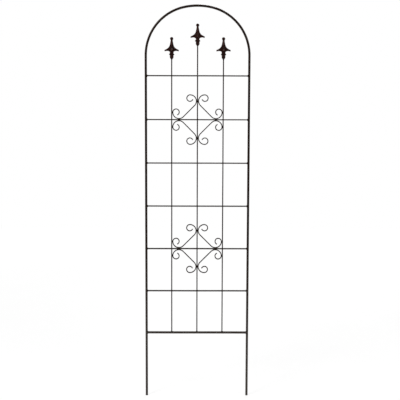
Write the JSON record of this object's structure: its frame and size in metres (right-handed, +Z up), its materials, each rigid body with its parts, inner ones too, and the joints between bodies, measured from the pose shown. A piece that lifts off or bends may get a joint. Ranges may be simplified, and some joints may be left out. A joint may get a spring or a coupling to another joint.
{
  "type": "garden trellis",
  "caption": "Tall arched garden trellis of bent steel tube with a grid of punched flat bars and rods, scroll diamonds and cast spear finials; its legs push into the soil.",
  "frame": {"origin": "on the ground, midway between the open lower ends of the two legs", "axes": "+X from the left leg to the right leg as seen from the front, +Z up, the front faces -Y"},
  "size_m": [0.486, 0.066, 1.83],
  "materials": {
    "frame_coat": "satin",
    "grid_coat": "satin",
    "scroll_coat": "satin",
    "finial_coat": "satin",
    "weld_coat": "matte"
  },
  "bodies": {
    "root": {"frame_tube": "frame_coat", "bottom_bar": "frame_coat", "cross_bar_1": "grid_coat", "cross_bar_2": "grid_coat", "cross_bar_3": "grid_coat", "cross_bar_4": "grid_coat", "cross_bar_5": "grid_coat", "cross_bar_6": "grid_coat", "rod_left": "grid_coat", "rod_centre": "grid_coat", "rod_right": "grid_coat", "finial_left": "finial_coat", "finial_centre": "finial_coat", "finial_right": "finial_coat", "upper_scroll_top_left": "scroll_coat", "upper_scroll_top_right": "scroll_coat", "upper_scroll_bottom_left": "scroll_coat", "upper_scroll_bottom_right": "scroll_coat", "lower_scroll_top_left": "scroll_coat", "lower_scroll_top_right": "scroll_coat", "lower_scroll_bottom_left": "scroll_coat", "lower_scroll_bottom_right": "scroll_coat", "frame_welds": "weld_coat", "rod_foot_welds": "weld_coat", "crossing_welds": "weld_coat", "finial_welds": "weld_coat", "upper_scroll_welds": "weld_coat", "lower_scroll_welds": "weld_coat"}
  },
  "joints": []
}
